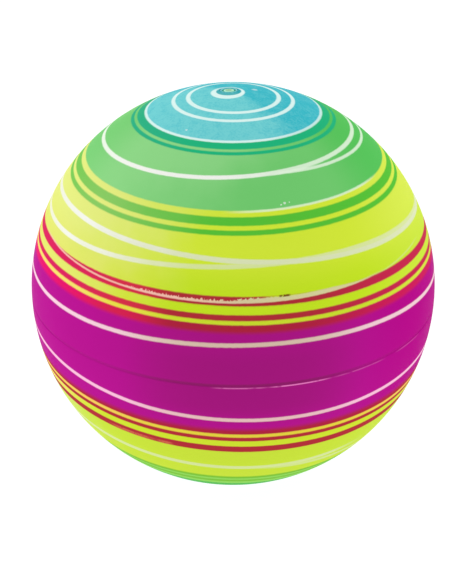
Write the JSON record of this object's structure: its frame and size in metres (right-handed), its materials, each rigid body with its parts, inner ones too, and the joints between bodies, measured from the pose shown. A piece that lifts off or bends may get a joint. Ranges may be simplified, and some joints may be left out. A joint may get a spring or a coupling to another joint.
{
  "type": "playground ball",
  "caption": "Inflatable vinyl play ball with rainbow painted bands, an equator parting line, and a top valve whose small stopper pulls straight out for pumping.",
  "frame": {"origin": "centre of the ball", "axes": "+Z along the valve's axis, out through the plug; the parting line lies in the XY plane"},
  "size_m": [0.23, 0.23, 0.2299],
  "materials": {
    "painted_vinyl": "satin",
    "painted_seat": "satin",
    "plug_plastic": "satin"
  },
  "bodies": {
    "ball": {"ball_skin": "painted_vinyl", "valve_seat": "painted_seat"},
    "plug": {"valve_plug": "plug_plastic"}
  },
  "joints": [
    {"name": "plug_pull", "type": "slide", "parent": "ball", "child": "plug", "axis": [0, 0, 1], "range_m": [0, 0.016]}
  ]
}
